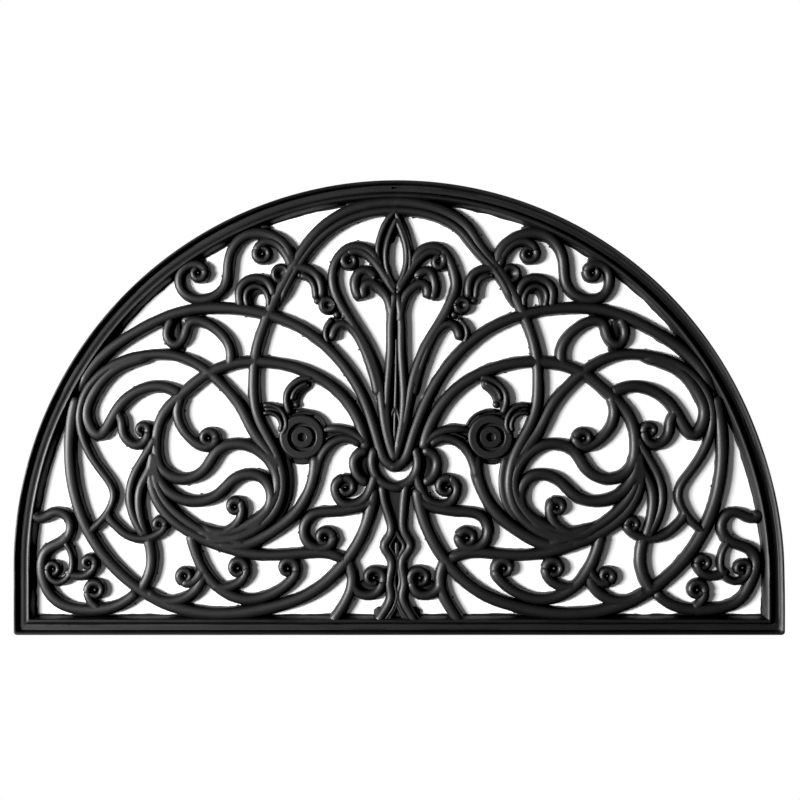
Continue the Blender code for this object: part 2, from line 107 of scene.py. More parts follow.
BARS = (
    Bar("outer_arch", 10, 10, ((404, 203.5), (396, 203), (372, 205), (350, 211), (317, 233), (293, 268), (270, 312), (257.5, 348), (254, 382), (257.5, 414), (273, 446), (283, 480), (276, 510), (254, 530), (234, 538.5), (214, 540), (195, 531.5)), None, "end"),
    Bar("inner_arch", 8, 7, ((404, 211), (396, 211), (350, 220), (319, 241), (298, 268), (286, 290), (278, 308)), None, "end"),
    Bar("top_sweep", 10.5, 9.5, ((78, 392), (86, 377), (105, 354.5), (140, 330.5), (180, 312.8), (220, 308.3), (260, 313), (300, 327.5), (336, 356), (358, 386), (373, 420), (381.5, 447), (387.5, 460.5), (396, 466), (404, 464.5)), None, "start"),
    Bar("wheel_rim", 10.5, 10.5, ((368, 450), (364, 432), (340, 393), (308, 372), (270, 362.5), (240, 363), (210, 373), (184, 393), (163, 416), (156.5, 445), (162, 468), (184, 478.5), (206, 468), (219, 450), (243, 444), (265, 455), (278, 479), (271, 506), (252, 523), (232, 531.5), (212, 531), (195, 521)), None, "end"),
    Bar("side_sweep", 11, 6.5, ((280, 468), (266, 448), (253, 430), (240, 405), (224, 386), (206, 370), (182, 357.5), (150, 355), (116, 364.5), (90, 386), (80, 413), (86, 445), (101, 470), (114, 494), (107, 513), (98, 524), (87, 532)), None),
    Bar("side_hook", 10.5, 10.5, ((158, 355.5), (148, 357.5), (113, 371), (93, 395), (88, 420), (99, 435), (112, 419), (129, 397), (155, 386.5), (182, 395)), None, "start"),
    Bar("hook_curl", 9, 8, ((115, 412), (122, 421), (123, 432), (128.5, 441), (138, 445), (146, 440), (148.5, 432)), Curl(143, 430, CCW, 0.8, 4.2, 1.0)),
    Bar("wheel_curl", 9.5, 8.5, ((183, 395), (179, 420), (186, 433), (196, 442.5), (208, 446.5), (216.5, 440)), Curl(209, 438, CCW, 0.85, 5.0, 1.0)),
    Bar("second_rim", 10.5, 10.5, ((156, 454), (156, 468), (165, 487), (188, 500), (217, 495), (237, 477.5), (262, 477), (272, 498), (262, 518), (244, 531.5), (225, 536.5), (206, 533.5), (190, 523)), None, "end"),
    Bar("third_rim", 9, 9, ((155.5, 453), (154, 467), (161, 494), (182, 517), (204, 531), (230, 540), (256, 546)), None, "end"),
    Bar("lower_sweep", 10, 10, ((155, 451), (151.5, 465), (154, 491), (169, 516), (194, 534), (225, 547), (262, 554.5), (302, 553), (332, 554), (344, 559.5), (352, 566)), None, "end"),
    Bar("rim_curl", 9, 8, ((210, 535), (228, 530), (239, 521), (242.5, 511), (241, 502.5)), Curl(235.5, 506.5, CCW, 0.8, 4.8, 1.0)),
    Bar("boss_bar", 11, 11, ((316, 455), (311.5, 486), (296.5, 512), (272, 532), (247, 544), (226, 545.5), (207, 539)), None, "end"),
    Bar("boss_loop", 8.5, 8, ((316, 478), (321, 458), (333, 443), (349, 438.5), (362, 445)), None),
    Bar("boss_tie", 8, 8, ((320, 432), (327, 429.5), (341, 429), (354, 433), (367, 444)), None, "start"),
    Bar("cap_leaf_outer", 7.5, 7.5, ((314, 378.5), (303, 379), (293.5, 384.5), (287.5, 392.5), (286.5, 402), (291, 414)), None),
    Bar("cap_leaf_inner", 5.5, 5.5, ((309, 383.5), (299, 387.5), (293.5, 394), (292.5, 401)), None),
    Bar("small_hood_outer", 6, 6, ((263, 406), (273, 405.5), (281, 410), (285.5, 418), (286, 428), (281, 434)), None),
    Bar("small_hood_inner", 5.5, 5.5, ((263, 414), (272, 413), (278.5, 417), (281.5, 424), (279.5, 432)), None),
    Bar("shoulder_curl", 10, 8, ((229, 368), (230, 347), (223, 335.5), (212, 326.5), (199, 321.5), (190, 323.5), (186.3, 332), (182, 341.5), (175, 345), (169, 341), (167, 333), (169, 325.5), (174, 319)), None),
    Bar("crest_curl", 10.5, 8, ((293, 266), (277, 238.5), (246, 236.5), (229.5, 259), (225, 287), (201, 300), (181, 289), (182, 272), (190, 266), (199, 265.5), (205, 270)), Curl(198.5, 273.5, CW, 0.75, 4.6, 1.0)),
    Bar("crest_inner_curl", 8, 7, ((292, 268), (285, 253), (274, 243), (263, 243.5), (256.8, 250)), Curl(263, 254.5, CCW, 0.9, 5.2, 1.0)),
    Bar("hood_outer", 8, 8, ((242, 308), (239.6, 299), (240.2, 290), (246, 282), (257, 278.6), (266, 281), (271.5, 287.5), (274, 298)), None),
    Bar("hood_inner", 7, 7, ((249, 308), (246, 299), (247, 292.5), (251.8, 288), (258.5, 287), (264, 290), (268, 296), (268, 308)), None),
    Bar("hood_right_outer", 8.4, 8, ((290, 268.5), (303, 268.5), (312, 271.5), (319, 278.5), (322, 288), (321.5, 299)), None),
    Bar("hood_right_inner", 7.4, 7, ((299.5, 276.5), (307.5, 278), (313, 283.5), (315.5, 292), (316, 300)), None),
    Bar("bud_outer", 6.5, 6.5, ((334, 319.5), (327, 327), (325.5, 335), (329.5, 343.5)), None),
    Bar("bud_inner", 8, 8, ((379, 396), (369, 360), (359, 338), (350, 327), (341, 324.5), (334.5, 331), (333.5, 341)), None),
    Bar("heart", 9, 9, ((397.5, 461), (394, 451), (386, 420), (380, 384), (367, 347), (346, 313), (334.2, 288), (336.8, 261.5), (355.5, 247), (369, 250.5), (378, 261), (385.5, 274)), None, "end"),
    Bar("petal_upper", 9, 7, ((396, 292), (383, 273), (369, 256.5), (357, 251.5), (348.5, 253.5)), Curl(350.5, 261.5, CCW, 0.95, 4.4, 1.6)),
    Bar("petal_lower", 8, 9.5, ((392, 324), (391.2, 309), (386.5, 296), (377.5, 287), (370, 284), (364.8, 287), (363.8, 293), (365.5, 299.5)), None),
    Bar("petal_ridge", 8.5, 8.5, ((376, 280), (369.5, 272.5), (361, 272), (356, 280), (356, 290), (361.5, 300)), None),
    Bar("leaf_outer", 7, 7, ((398, 210), (386.5, 223), (380.5, 237), (378, 252), (381, 266), (387, 281), (397, 295)), None, "", -1),
    Bar("leaf_outer_right", 6.5, 6.5, ((398, 211), (394.5, 219), (389, 232), (384, 247), (382.2, 262), (387, 281), (397, 295)), None, "", 1),
    Bar("leaf_inner", 7, 7, ((398, 218), (391, 233), (386.8, 247), (386, 262), (389, 275), (397, 290)), None),
    Bar("stem", 8, 8, ((396, 293), (391.5, 320), (391, 350), (388, 405), (394, 448)), None),
    Bar("cup", 9, 9, ((377.5, 447), (373.5, 462), (379, 478), (394, 486.5), (404, 486.5)), None),
    Bar("cup_side", 9, 9, ((370, 450), (355, 460), (361, 478), (370, 482)), None),
    Bar("neck_curl", 9, 8, ((377, 473), (372.5, 486), (366, 498), (355, 504), (343, 502.5), (336.5, 494), (336, 484.5), (341.5, 478.5)), Curl(346, 487, CW, 0.8, 4.6, 1.0)),
    Bar("middle_curl", 10, 9, ((378, 498.5), (365, 504.5), (335, 511), (311, 516), (304, 530), (308, 542), (318, 548), (329, 545.5), (334, 538)), Curl(325.5, 537.5, CCW, 0.8, 5.0, 1.0)),
    Bar("big_ring", 11, 11, ((77, 396), (70, 440), (78.8, 507), (97.3, 545.5), (126.8, 578.5), (163, 602), (205, 612.5), (246, 612), (280, 605), (308, 594.5), (337, 572), (356, 547), (373, 502), (375, 487)), None),
    Bar("foot_bar", 10.5, 10, ((347, 559), (352, 586), (345, 603), (331.5, 622.5)), None),
    Bar("foot_curl", 9, 8, ((351, 580), (357, 591), (367, 595), (377, 592), (382, 583)), Curl(373.5, 577.5, CCW, 0.9, 5.4, 1.0)),
    Bar("low_scroll", 10.5, 9, ((191, 533), (200, 562), (219, 587.5), (248, 599), (276, 592), (291, 581), (297, 571)), Curl(288.5, 568, CCW, 0.85, 5.2, 1.0)),
    Bar("low_inner_curl", 9, 8, ((211, 583), (222, 587), (234, 585), (244, 578), (247, 569)), Curl(238.5, 568, CCW, 0.9, 5.6, 1.0)),
    Bar("low_left_curl", 9, 8, ((203, 567), (198.5, 577), (191, 582.5), (184, 582)), Curl(185.5, 575.5, CW, 0.9, 4.8, 1.0)),
    Bar("low_left_bar", 10, 10, ((204, 572), (194, 592), (170, 601), (146, 590)), None),
    Bar("knee_post", 11, 10, ((147, 535), (151.5, 552), (151, 568), (137, 593)), None),
    Bar("left_lens_outer", 8, 8, ((156, 436), (148, 451), (136, 471), (130, 499), (138, 525), (146, 537)), None),
    Bar("left_lens_inner", 9, 9, ((157, 450), (150.5, 468), (141, 487), (140, 512), (147, 537)), None),
    Bar("knee_curl", 8.5, 7, ((107, 510), (109.8, 518), (116, 525), (125, 533), (143, 538.5), (158, 534), (165.5, 526)), Curl(160, 524, CCW, 0.85, 4.0, 1.0)),
    Bar("corner_tip", 9, 9, ((33, 510), (36, 517), (43, 517.5), (55, 512), (66, 515), (71, 526), (64, 540)), None),
    Bar("corner_scroll", 10, 10, ((70, 531), (63, 541), (48, 549), (42.5, 575), (57.5, 601), (88, 609.5), (117, 605.5), (138, 591)), None),
    Bar("corner_curl", 7.5, 7.5, ((64, 541), (71, 552), (72.5, 566), (68, 577), (58, 582), (50, 577), (47.5, 570)), Curl(53.5, 568.5, CW, 0.8, 4.8, 1.0)),
    Bar("corner_bud", 8, 7, ((66, 569), (73, 574.5), (84, 575.5), (92, 571), (95.5, 564)), Curl(89.5, 562.5, CCW, 0.85, 4.6, 1.0)),
    Bar("corner_knot", 8, 7, ((101, 608), (91, 601), (87.5, 592)), Curl(95.5, 589.5, CW, 0.95, 5.4, 1.0)),
    Bar("post_outer", 8, 8, ((383, 484), (386.5, 507), (391, 522), (390.5, 534), (384, 546), (390, 557), (391, 568), (388.6, 584), (390.6, 596), (385.5, 609), (376.5, 622.5)), None, "", -1),
    Bar("post_outer_right", 8, 8, ((385.2, 482), (388.2, 498), (389.8, 515), (388.6, 532), (382.8, 546), (390, 557), (391.6, 568), (389.2, 584), (391, 596), (385.5, 609), (376.5, 622.5)), None, "", 1),
)


Disc = namedtuple("Disc", "name x y radius height")

# rounded knobs and beads, and low webs that close the gaps behind them; heights in mm
DISCS = (
    Disc("hood_bead", 300, 276, 3.4, 7.4),
    Disc("hood_end", 317.5, 301, 4.2, 4.6),
    Disc("hood_lump", 322.5, 300, 3.4, 3.4),
    Disc("ball_bead", 334.8, 305.3, 2.7, 8.3),
    Disc("hood_knob", 337.2, 315.2, 4.2, 7.0),
    Disc("knob_bead", 344.0, 316.8, 3.2, 7.4),
    Disc("petal_bead", 374.2, 278.2, 3.4, 8.1),
    Disc("cap_nub", 296.5, 404.5, 3.8, 4.8),
    Disc("crest_web", 198, 262, 7, 2.2),
    Disc("shoulder_web", 181, 346, 4, 2.4),
    Disc("rim_web", 181, 349, 4, 1.6),
    Disc("corner_dot", 36.3, 515.2, 5.6, 7.6),
)

# turned knobs with a dimple: radius of the knob and of the dimple
Knob = namedtuple("Knob", "name x y radius dimple height")

KNOBS = (
    Knob("crest_ring", 281.2, 274.6, 11.0, 4.2, 7.4),
    Knob("hood_ball", 328.0, 305.8, 10.0, 3.2, 7.6),
)

Core = namedtuple("Core", "name width height knots")

# flat webs on the centre line
CORES = (
    Core("spine", 12, 3.5, ((396.5, 292), (396.5, 452))),
    Core("pedestal", 16, 4.5, ((396.5, 484), (396.5, 530))),
    Core("baluster", 12, 3.5, ((396.5, 528), (396.5, 616))),
    Core("foot", 34, 3.0, ((396.5, 611), (396.5, 622))),
    Core("top_key", 16, 4.0, ((396.5, 200), (396.5, 226))),
)

Web = namedtuple("Web", "name width height knots side", defaults=(0,))

# low webs between ridges that lie side by side
WEBS = (
    Web("arch_web", 12, 6.0, ((398, 208), (372, 210), (340, 220), (312, 243), (294, 268))),
    Web("hood_web", 10, 5.0, ((242, 300), (242.5, 290), (248, 283), (258, 281), (266, 285), (271, 295))),
    Web("hood_floor", 8.6, 3.4, ((250, 308), (250, 299), (253.5, 292.5), (259, 290), (265, 292.5))),
    Web("cup_web", 9, 3.0, ((369, 451), (364, 464), (368, 480))),
    Web("crest_corner", 9, 4.0, ((258, 229), (271, 229))),
    Web("arch_corner", 8, 4.0, ((346, 207), (375, 202)), -1),
    Web("arch_corner_right", 8, 4.0, ((357, 206), (378, 202)), 1),
    Web("shoulder_floor", 9, 3.4, ((176.5, 320), (176.5, 341))),
    Web("shoulder_top", 7, 3.0, ((183, 319), (204, 317))),
    Web("hood_right_web", 10, 5.8, ((297, 272), (308, 273.5), (316, 280.5), (319, 290), (319, 300))),
    Web("bud_web", 8, 4.0, ((335, 323), (330, 331), (331, 341))),
    Web("lobe_web", 13, 6.2, ((343, 262), (347, 254), (357, 250), (368, 254), (376, 261))),
    Web("petal_web", 12, 5.6, ((373, 279), (364, 277), (358.5, 284), (361, 297))),
    Web("leaf_web", 7, 5.2, ((396, 216), (388, 228), (384, 241), (382.5, 257), (385.5, 271), (396, 290))),
    Web("cap_web", 14, 3.6, ((311, 382), (300, 388), (294, 397), (293, 408))),
    Web("small_hood_web", 9, 4.4, ((264, 410), (275, 409.5), (282.5, 417), (284, 430))),
    Web("small_hood_floor", 12, 3.2, ((277, 438), (281, 448), (290, 461))),
    Web("boss_top_web", 7, 3.0, ((290, 415), (302, 411.5), (314, 415))),
    Web("arch_slope", 9, 4.2, ((286, 458), (289.5, 474), (289, 492), (283, 509), (274, 521))),
    Web("boss_flash", 6, 1.2, ((289, 457), (299, 461.5), (309, 460))),
    Web("tie_web", 8, 3.0, ((322, 436), (340, 434), (356, 438))),
    Web("leaf_top", 9, 3.4, ((396.5, 218), (392.5, 233), (389.5, 243)), -1),
    Web("leaf_top_right", 6.5, 3.4, ((396.5, 220), (394.8, 229), (393.5, 236)), 1),
    Web("foot_curl_web", 8, 3.0, ((360, 581), (367, 587.5), (377, 588))),
    Web("post_plate", 11, 3.4, ((373, 612), (386, 612))),
    Web("post_floor", 10, 3.4, ((392, 540), (390, 548), (394, 560))),
)

# fine ridges and lips
RIDGES = (
    Bar("spine_ridge", 5, 5, ((396.5, 338), (396.5, 450)), None),
    Bar("diamond", 5.2, 5.2, ((396.5, 407), (391, 428), (396.5, 447)), None),
    Bar("waist_ridge", 5.6, 5.6, ((397, 530), (393.2, 538), (389.4, 546), (393.6, 554), (395.6, 566), (393.6, 583), (396, 593), (394.8, 602), (382, 622)), None),
    Bar("waist_ridge_inner", 4.6, 4.6, ((398, 602), (393, 611), (388, 620)), None),
    Bar("waist_rib", 4.6, 4.6, ((397, 541), (397.3, 562)), None),
    Bar("heart_lip", 3.4, 3, ((336.5, 300), (338.5, 307), (343, 314), (349, 318.5), (353.5, 327), (359, 337)), None),
    Bar("tie_ridge", 3.4, 3.4, ((326, 439.5), (337, 434), (350, 434), (359, 439)), None),
    Bar("boss_lip", 3.4, 3.4, ((296, 411.5), (304, 410.5), (313, 412.5), (321, 418), (326, 426)), None),
)

# moulding specks that stand up from the border; heights in mm
SPECKS = (
    Disc("top_speck", 391.5, 188.5, 1.0, 7.6),
    Disc("band_speck", 411, 193.5, 0.9, 4.2),
    Disc("foot_speck", 380.2, 617.6, 1.1, 8.3),
    Disc("band_speck_2", 383.3, 627.4, 0.9, 4.0),
    Disc("band_speck_3", 393.4, 627.0, 1.1, 4.2),
    Disc("band_speck_4", 324.0, 626.5, 1.1, 4.1),
    Disc("bead_speck", 396.8, 632.5, 1.0, 7.2),
    Disc("band_speck_5", 46.0, 625.6, 0.8, 4.0),
    Disc("band_speck_6", 50.5, 624.8, 0.9, 4.0),
    Disc("band_speck_7", 62.0, 625.4, 0.8, 4.0),
    Disc("band_speck_8", 67.5, 625.0, 1.0, 4.1),
    Disc("band_speck_9", 119.0, 626.0, 0.8, 4.0),
)

def spline(knots, step):
    """Smooth line through the knots: a cubic spline over chord length."""
    p = np.array(knots, float)
    n = len(p)
    if n == 2:
        m = max(2, int(math.ceil(np.linalg.norm(p[1] - p[0]) / step)) + 1)
        t = np.linspace(0, 1, m)[:, None]
        return p[0] * (1 - t) + p[1] * t
    h = np.maximum(np.linalg.norm(np.diff(p, axis=0), axis=1), 1e-6)
    s = np.concatenate([[0], np.cumsum(h)])
    a = np.zeros((n, n))
    b = np.zeros((n, 2))
    for i in range(1, n - 1):
        a[i, i - 1], a[i, i], a[i, i + 1] = h[i - 1], 2 * (h[i - 1] + h[i]), h[i]
        b[i] = 6 * ((p[i + 1] - p[i]) / h[i] - (p[i] - p[i - 1]) / h[i - 1])
    # the ends keep the bend of their neighbours
    a[0, 0], a[0, 1] = 1, -1
    a[-1, -1], a[-1, -2] = 1, -1
    m2 = np.linalg.solve(a, b)
    count = max(2, int(math.ceil(s[-1] / step)) + 1)
    out = []
    for q in np.linspace(0, s[-1], count):
        i = min(int(np.searchsorted(s, q, side="right")) - 1, n - 2)
        u, w = q - s[i], s[i + 1] - q
        out.append((m2[i] * w ** 3 + m2[i + 1] * u ** 3) / (6 * h[i])
                   + (p[i] / h[i] - m2[i] * h[i] / 6) * w
                   + (p[i + 1] / h[i] - m2[i + 1] * h[i] / 6) * u)
    return np.array(out)


def bar_line(bar, step):
    """A bar's middle line, with its curl wound in towards the eye."""
    knots = list(bar.knots)
    if bar.curl:
        c = bar.curl
        x, y = knots[-1]
        r0 = math.hypot(x - c.x, y - c.y)
        a0 = math.atan2(y - c.y, x - c.x)
        steps = max(3, int(round(c.turns * 8)))
        for k in range(1, steps + 1):
            f = k / steps
            r = c.eye + (r0 - c.eye) * (1 - f) ** c.pull
            ang = a0 + c.hand * math.tau * c.turns * f
            knots.append((c.x + r * math.cos(ang), c.y + r * math.sin(ang)))
    return spline(knots, step)


def place(points, side=-1):
    """Sheet points to metres; side -1 is the left half, +1 its mirror image."""
    q = np.array(points, float)
    if side > 0:
        q[:, 0] = 2 * SHEET_CENTRE_X - q[:, 0]
    shift = np.zeros_like(q)
    for slip in SLIPS:
        near = np.exp(-((q[:, 0] - slip.x) ** 2 + (q[:, 1] - slip.y) ** 2) / slip.reach ** 2)[:, None]
        shift += near * np.array((slip.right, slip.down))
    q += shift
    up = (SHEET_MIDDLE_Y - q[:, 1]) * UNIT
    return np.stack([(q[:, 0] - SHEET_MIDDLE_X) * UNIT, up + rise(up)], axis=1)


def rise(y):
    """How much further up a point at y lies: nothing low down, all of RISE in the upper part."""
    return RISE * np.clip((np.asarray(y) + 0.07) / 0.195, 0.0, 1.0)


def wander(s, seed, reach):
    """A slow, uneven number along a bar, about -1 to 1."""
    return noise.noise(Vector((s / reach, seed * 7.31, 0.4))) * 1.6


def section(half, crown, wall, left, right):
    """One cut across a bar: foot, flash, wall and rounded top, left to right."""
    out = [(-half - left, 0.0), (-half - left, FLASH_HEIGHT), (-half * 0.975, wall * 0.9)]
    steps = 8
    for k in range(1, steps):
        a = math.pi * (1 - k / steps)
        c, s = math.cos(a), math.sin(a)
        out.append((half * 0.96 * c, wall + (crown - wall) * s ** 0.96))
    out += [(half * 0.975, wall * 0.9), (half + right, FLASH_HEIGHT), (half + right, 0.0)]
    return out


def tube(line, sections):
    """A closed solid from a section at each point of a flat line."""
    t = np.gradient(line, axis=0)
    t /= np.linalg.norm(t, axis=1)[:, None]
    n = np.stack([-t[:, 1], t[:, 0]], axis=1)
    bm = bmesh.new()
    rings = []
    for p, q, sec in zip(line, n, sections):
        rings.append([bm.verts.new((p[0] + q[0] * u, p[1] + q[1] * u, z)) for u, z in sec])
    count = len(rings[0])
    for a, b in zip(rings, rings[1:]):
        for i in range(count):
            j = (i + 1) % count
            bm.faces.new((a[i], a[j], b[j], b[i]))
    bm.faces.new(rings[0])
    bm.faces.new(list(reversed(rings[-1])))
    return bm


SOLIDS = []


def keep(bm):
    """Triangulates a solid, turns its faces outwards and puts it with those that are united later."""
    bmesh.ops.triangulate(bm, faces=bm.faces)
    bmesh.ops.recalc_face_normals(bm, faces=bm.faces)
    if bm.calc_volume(signed=True) < 0:
        bmesh.ops.reverse_faces(bm, faces=bm.faces)
    mesh = bpy.data.meshes.new("solid_%03d" % len(SOLIDS))
    bm.to_mesh(mesh)
    bm.free()
    ob = bpy.data.objects.new(mesh.name, mesh)
    SOLIDS.append(ob)
    return ob


def stations(line, values, step, tip):
    """The line again with its points an even step apart, closer together at rounded tips."""
    s = np.concatenate([[0], np.cumsum(np.linalg.norm(np.diff(line, axis=0), axis=1))])
    long = s[-1]
    if tip and long > tip * 3:
        near = np.array((0.0, 0.12, 0.35, 0.7)) * tip
        count = max(2, int(round((long - 2 * tip) / step)) + 1)
        q = np.concatenate([near, np.linspace(tip, long - tip, count), long - near[::-1]])
    else:
        q = np.linspace(0, long, max(3, int(round(long / step)) + 1))
    return np.stack([np.interp(q, s, line[:, 0]), np.interp(q, s, line[:, 1])], axis=1), np.interp(q, s, values), q


def bar_solid(line, widths, seed, crown=CROWN, wall=WALL, step=0.0040, flash=0.0005, tips=True, fade=""):
    tip = float(widths.min()) / 2 if tips else 0.0
    line, widths, s = stations(line, widths, step, tip)
    sections = []
    for w, q in zip(widths, s):
        left = max(0.00005, flash * (0.5 + wander(q, seed, 0.009) + 0.5 * wander(q, seed + 0.5, 0.003)))
        right = max(0.00005, flash * (0.5 + wander(q, seed + 0.25, 0.009) + 0.5 * wander(q, seed + 0.75, 0.003)))
        high = crown + 0.00018 * wander(q, seed + 0.1, 0.05)
        half = w / 2 * (1 + 0.03 * wander(q, seed + 0.9, 0.02))
        # a narrow bar is lower
        high -= max(0.0, 0.0042 - half) * 0.45
        side = min(wall, high * 0.62)
        near = min(q, s[-1] - q)
        if tip and near < tip:
            round_off = math.sqrt(max(0.0, 1 - (1 - near / tip) ** 2))
            half *= 0.34 + 0.66 * round_off
            high = side + (high - side) * (0.12 + 0.88 * round_off)
        for end, far in (("start", q), ("end", s[-1] - q)):
            if fade == end and far < FADE_LENGTH:
                thin = far / FADE_LENGTH
                thin = thin * thin * (3 - 2 * thin)
                half *= 0.40 + 0.60 * thin
                high = side + (high - side) * (0.25 + 0.75 * thin)
        sections.append(section(half, high, side, left, right))
    keep(tube(line, sections))


def flakes(line, widths, seed, every=0.055):
    """Scraps of rubber left at a bar's foot."""
    s = np.concatenate([[0], np.cumsum(np.linalg.norm(np.diff(line, axis=0), axis=1))])
    count = int(s[-1] / every)
    for k in range(count):
        pick = noise.cell(Vector((seed * 3.1, k * 1.7, 0.0)))
        at = (k + abs(pick)) * every
        if at > s[-1] - 0.004 or at < 0.004:
            continue
        i = int(np.searchsorted(s, at))
        way = line[min(i + 1, len(line) - 1)] - line[i - 1]
        way = way / np.linalg.norm(way)
        side = 1 if noise.cell(Vector((seed, k * 2.3, 4.0))) > 0 else -1
        size = 0.0008 + 0.0006 * abs(noise.cell(Vector((seed, k * 1.3, 8.0))))
        at = line[i] + side * np.array((-way[1], way[0])) * (widths[i] / 2 + size * 0.15)
        dome(at[0], at[1], size, 0.0016, sides=6)


def dome(x, y, radius, height, foot=0.0, sides=24):
    """A knob: a low wall and a rounded top."""
    bm = bmesh.new()
    rows = [(radius, foot), (radius, height * 0.45)]
    steps = 6 if sides > 10 else 3
    for k in range(1, steps):
        a = math.pi / 2 * k / steps
        rows.append((radius * math.cos(a), height * (0.45 + 0.55 * math.sin(a))))
    rings = []
    for r, z in rows:
        rings.append([bm.verts.new((x + r * math.cos(math.tau * i / sides),
                                    y + r * math.sin(math.tau * i / sides), z)) for i in range(sides)])
    for a, b in zip(rings, rings[1:]):
        for i in range(sides):
            j = (i + 1) % sides
            bm.faces.new((a[i], a[j], b[j], b[i]))
    top = bm.verts.new((x, y, height))
    for i in range(sides):
        bm.faces.new((rings[-1][i], rings[-1][(i + 1) % sides], top))
    bm.faces.new(list(reversed(rings[0])))
    keep(bm)


def knob(x, y, radius, dimple, height):
    """A rounded knob with a dimple in its top."""
    rise = ((1.0, 0.0), (1.0, 0.45), (0.95, 0.68), (0.84, 0.86), (0.7, 0.96))
    rows = [(radius * r, height * z) for r, z in rise]
    rows += [((radius + dimple) / 2, height), (dimple * 1.25, height * 0.95), (dimple, height * 0.84),
             (dimple * 0.6, height * 0.66), (dimple * 0.3, height * 0.6)]
    turned(x, y, rows, sides=28)


def prism(ring, height):
    """A flat web of the given outline."""
    bm = bmesh.new()
    low = [bm.verts.new((x, y, 0.0)) for x, y in ring]
    high = [bm.verts.new((x, y, height)) for x, y in ring]
    n = len(ring)
    for i in range(n):
        j = (i + 1) % n
        bm.faces.new((low[i], low[j], high[j], high[i]))
    bm.faces.new(list(reversed(low)))
    bm.faces.new(high)
    keep(bm)


def turned(x, y, rows, sides=72):
    """A turned knob: rows of radius and height from the rim's foot inwards."""
    bm = bmesh.new()
    rings = []
    for r, z in rows:
        rings.append([bm.verts.new((x + r * math.cos(math.tau * i / sides),
                                    y + r * math.sin(math.tau * i / sides), z)) for i in range(sides)])
    for a, b in zip(rings, rings[1:]):
        for i in range(sides):
            j = (i + 1) % sides
            bm.faces.new((a[i], a[j], b[j], b[i]))
    top = bm.verts.new((x, y, rows[-1][1]))
    for i in range(sides):
        bm.faces.new((rings[-1][i], rings[-1][(i + 1) % sides], top))
    bm.faces.new(list(reversed(rings[0])))
    keep(bm)


def border_stations(step=0.006):
    """Outer and inner edge of the border, point for point."""
    r_in = ARCH_RADIUS - BORDER_WIDTH
    low = -MAT_DEPTH / 2
    mid = low + SIDE_HEIGHT
    outer, inner = [], []
    runs = int((ARCH_RADIUS - CORNER_ROUND) / step)
    for k in range(runs):
        f = k / runs
        outer.append((f * (ARCH_RADIUS - CORNER_ROUND), low))
        inner.append((f * (r_in - CORNER_ROUND * 0.2), low + FOOT_WIDTH))
    turn = 7
    for k in range(turn):
        a = -math.pi / 2 + math.pi / 2 * k / (turn - 1)
        small = CORNER_ROUND * 0.2
        outer.append((ARCH_RADIUS - CORNER_ROUND + CORNER_ROUND * math.cos(a),
                      low + CORNER_ROUND + CORNER_ROUND * math.sin(a)))
        inner.append((r_in - small + small * math.cos(a), low + FOOT_WIDTH + small + small * math.sin(a)))
    runs = int(SIDE_HEIGHT / step)
    for k in range(1, runs):
        f = k / runs
        outer.append((ARCH_RADIUS, low + CORNER_ROUND + (SIDE_HEIGHT - CORNER_ROUND) * f))
        start = low + FOOT_WIDTH + CORNER_ROUND * 0.2
        inner.append((r_in, start + (mid - start) * f))
    runs = int(math.pi * ARCH_RADIUS / 2 / step)
    for k in range(runs + 1):
        a = math.pi / 2 * k / runs
        outer.append((ARCH_RADIUS * math.cos(a), mid + ARCH_RADIUS * math.sin(a)))
        inner.append((r_in * math.cos(a), mid + r_in * math.sin(a)))
    outer += [(-x, y) for x, y in reversed(outer[1:-1])]
    inner += [(-x, y) for x, y in reversed(inner[1:-1])]
    return np.array(outer), np.array(inner)


def lie(x, y):
    """Where a point of the border comes to lie sideways."""
    if x > 0.5 or x < -0.5:
        return x
    if x < 0:
        return x - x / 0.375 * LEFT_IN
    down = min(1.0, max(0.0, -y / 0.2))
    down = down * down * (3 - 2 * down)
    return x + x / 0.375 * (DRAWN_IN + (SPREAD - DRAWN_IN) * down)


def border():
    outer, inner = border_stations()
    bm = bmesh.new()
    rings = []
    s = 0.0
    for k, (o, i) in enumerate(zip(outer, inner)):
        if k:
            s += float(np.linalg.norm(outer[k] - outer[k - 1]))
        ring = []
        for e in BORDER_SECTION:
            d = e.inwards / 1000
            z = e.height / 1000
            if 0 < z:
                z += 0.00010 * wander(s, 3.0 + d * 400, 0.05)
            if e.inwards > 21:
                d += max(-0.0006, 0.0007 * (0.2 + wander(s, 5.0, 0.012) + 0.6 * wander(s, 6.0, 0.004)))
            if e.inwards < 0.01:
                d = 0.00015 * wander(s, 9.0, 0.03) + 0.00015
            p = o + (i - o) * (d / BORDER_WIDTH)
            ring.append(bm.verts.new((lie(p[0], p[1]), p[1] + rise(p[1]), max(z, 0.0))))
        rings.append(ring)
    count = len(rings[0])
    for k in range(len(rings)):
        a, b = rings[k], rings[(k + 1) % len(rings)]
        for i in range(count):
            j = (i + 1) % count
            bm.faces.new((a[i], a[j], b[j], b[i]))
    return keep(bm)


